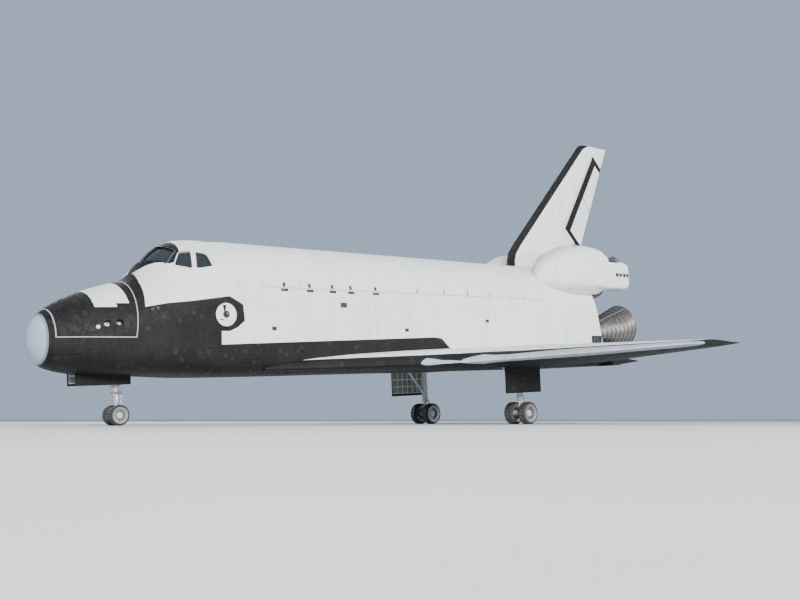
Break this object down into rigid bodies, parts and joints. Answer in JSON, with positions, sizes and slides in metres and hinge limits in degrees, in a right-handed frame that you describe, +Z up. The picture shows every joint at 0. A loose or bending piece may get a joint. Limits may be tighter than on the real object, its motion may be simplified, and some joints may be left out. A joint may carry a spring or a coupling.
{
  "type": "winged space shuttle",
  "caption": "Winged space shuttle orbiter on its landing gear, with opening load bay, hatch, hinged control surfaces, gimballed engines and free wheels.",
  "frame": {"origin": "on the floor, at the centre of the bounding box in plan", "axes": "+X toward the tail, +Y toward starboard, +Z up; the vehicle stands on its wheels with the nose 3 degrees low"},
  "size_m": [36.5682, 23.7896, 17.2895],
  "materials": {
    "white_tile": "satin white tile and blanket",
    "black_tile": "matt black tile",
    "edge_grey": "matt grey carbon panel",
    "window_glass": "dark coated glass",
    "cabin_grey": "satin",
    "engine_metal": "heat-stained metal",
    "gear_metal": "satin aluminium paint",
    "tyre": "matt"
  },
  "bodies": {
    "airframe": {"nose_cap": "edge_grey", "forward_body": "white_tile", "nose_thruster_module": "black_tile", "windscreen_glass": "window_glass", "overhead_glass": "window_glass", "bay_view_glass": "window_glass", "flight_deck_floor": "cabin_grey", "mid_deck_floor": "cabin_grey", "dashboard": "cabin_grey", "seat_left": "cabin_grey", "seat_right": "cabin_grey", "mid_body": "white_tile", "tail_body": "white_tile", "wing_right": "white_tile", "wing_left": "white_tile", "wing_leading_edge_right": "edge_grey", "wing_leading_edge_left": "edge_grey", "fin": "white_tile", "tail_pod_right": "white_tile", "tail_pod_left": "white_tile", "pod_engine_right": "engine_metal", "pod_engine_left": "engine_metal", "nose_gear_leg": "gear_metal", "main_gear_leg_right": "gear_metal", "main_gear_leg_left": "gear_metal", "nose_gear_door_right": "white_tile", "nose_gear_door_left": "white_tile", "main_gear_door_right": "white_tile", "main_gear_door_left": "white_tile"},
    "elevon_inner_right": {"elevon_inner_right": "white_tile"},
    "elevon_outer_right": {"elevon_outer_right": "white_tile"},
    "elevon_inner_left": {"elevon_inner_left": "white_tile"},
    "elevon_outer_left": {"elevon_outer_left": "white_tile"},
    "body_flap": {"body_flap": "black_tile"},
    "rudder": {"rudder_shaft": "black_tile"},
    "rudder_panel_right": {"rudder_panel_right": "white_tile"},
    "rudder_panel_left": {"rudder_panel_left": "white_tile"},
    "bay_door_right": {"bay_door_right": "white_tile"},
    "bay_door_left": {"bay_door_left": "white_tile"},
    "side_hatch": {"side_hatch": "white_tile"},
    "main_engine_upper": {"main_engine_upper": "engine_metal"},
    "main_engine_left": {"main_engine_left": "engine_metal"},
    "main_engine_right": {"main_engine_right": "engine_metal"},
    "nose_steering": {"nose_gear_steering": "gear_metal"},
    "nose_wheels": {"nose_wheels": "tyre"},
    "main_wheels_right": {"main_wheels_right": "tyre"},
    "main_wheels_left": {"main_wheels_left": "tyre"}
  },
  "joints": [
    {"name": "elevon_inner_right_hinge", "type": "hinge", "parent": "airframe", "child": "elevon_inner_right", "pos_m": [10.91982, 2.921, 3.50448], "axis": [-0.0024, 0.9989, 0.0465], "range_deg": [-35, 20]},
    {"name": "elevon_outer_right_hinge", "type": "hinge", "parent": "airframe", "child": "elevon_outer_right", "pos_m": [10.90758, 7.9375, 3.73797], "axis": [-0.0024, 0.9989, 0.0465], "range_deg": [-35, 20]},
    {"name": "elevon_inner_left_hinge", "type": "hinge", "parent": "airframe", "child": "elevon_inner_left", "pos_m": [10.91982, -2.921, 3.50448], "axis": [0.0024, 0.9989, -0.0465], "range_deg": [-35, 20]},
    {"name": "elevon_outer_left_hinge", "type": "hinge", "parent": "airframe", "child": "elevon_outer_left", "pos_m": [10.90758, -7.9375, 3.73797], "axis": [0.0024, 0.9989, -0.0465], "range_deg": [-35, 20]},
    {"name": "body_flap_hinge", "type": "hinge", "parent": "airframe", "child": "body_flap", "pos_m": [14.60426, 0, 3.57341], "axis": [0, 1, 0], "range_deg": [-11.7, 22.5]},
    {"name": "rudder_hinge", "type": "hinge", "parent": "airframe", "child": "rudder", "pos_m": [13.73208, 0, 11.66685], "axis": [0.5273, 0, 0.8497], "range_deg": [-27.1, 27.1]},
    {"name": "speed_brake_right_hinge", "type": "hinge", "parent": "rudder", "child": "rudder_panel_right", "pos_m": [13.73208, 0, 11.66685], "axis": [0.5273, 0, 0.8497], "range_deg": [0, 49.3]},
    {"name": "speed_brake_left_hinge", "type": "hinge", "parent": "rudder", "child": "rudder_panel_left", "pos_m": [13.73208, 0, 11.66685], "axis": [-0.5273, 0, -0.8497], "range_deg": [0, 49.3]},
    {"name": "bay_door_right_hinge", "type": "hinge", "parent": "airframe", "child": "bay_door_right", "pos_m": [-0.46191, 2.64722, 6.16666], "axis": [-0.9986, 0, -0.0523], "range_deg": [0, 175.5]},
    {"name": "bay_door_left_hinge", "type": "hinge", "parent": "airframe", "child": "bay_door_left", "pos_m": [-0.46191, -2.64722, 6.16666], "axis": [0.9986, 0, 0.0523], "range_deg": [0, 175.5]},
    {"name": "side_hatch_hinge", "type": "hinge", "parent": "airframe", "child": "side_hatch", "pos_m": [-11.30498, -2.66956, 3.88926], "axis": [0.9986, 0, 0.0523], "range_deg": [0, 90]},
    {"name": "main_engine_upper_gimbal", "type": "hinge", "parent": "airframe", "child": "main_engine_upper", "pos_m": [12.19012, 0, 7.41473], "axis": [0, 1, 0], "range_deg": [-10.5, 10.5]},
    {"name": "main_engine_left_gimbal", "type": "hinge", "parent": "airframe", "child": "main_engine_left", "pos_m": [12.91205, -1.3462, 4.8989], "axis": [0, 1, 0], "range_deg": [-10.5, 10.5]},
    {"name": "main_engine_right_gimbal", "type": "hinge", "parent": "airframe", "child": "main_engine_right", "pos_m": [12.91205, 1.3462, 4.8989], "axis": [0, 1, 0], "range_deg": [-10.5, 10.5]},
    {"name": "nose_steering_swivel", "type": "hinge", "parent": "airframe", "child": "nose_steering", "pos_m": [-14.607, 0, 0.406], "axis": [-0.0523, 0, 0.9986], "range_deg": [-10, 10]},
    {"name": "nose_wheels_spin", "type": "hinge", "parent": "nose_steering", "child": "nose_wheels", "pos_m": [-14.607, 0, 0.406], "axis": [0, 1, 0], "continuous": true},
    {"name": "main_wheels_right_spin", "type": "hinge", "parent": "airframe", "child": "main_wheels_right", "pos_m": [5.60538, 3.4544, 0.565], "axis": [0, 1, 0], "continuous": true},
    {"name": "main_wheels_left_spin", "type": "hinge", "parent": "airframe", "child": "main_wheels_left", "pos_m": [5.60538, -3.4544, 0.565], "axis": [0, 1, 0], "continuous": true}
  ]
}
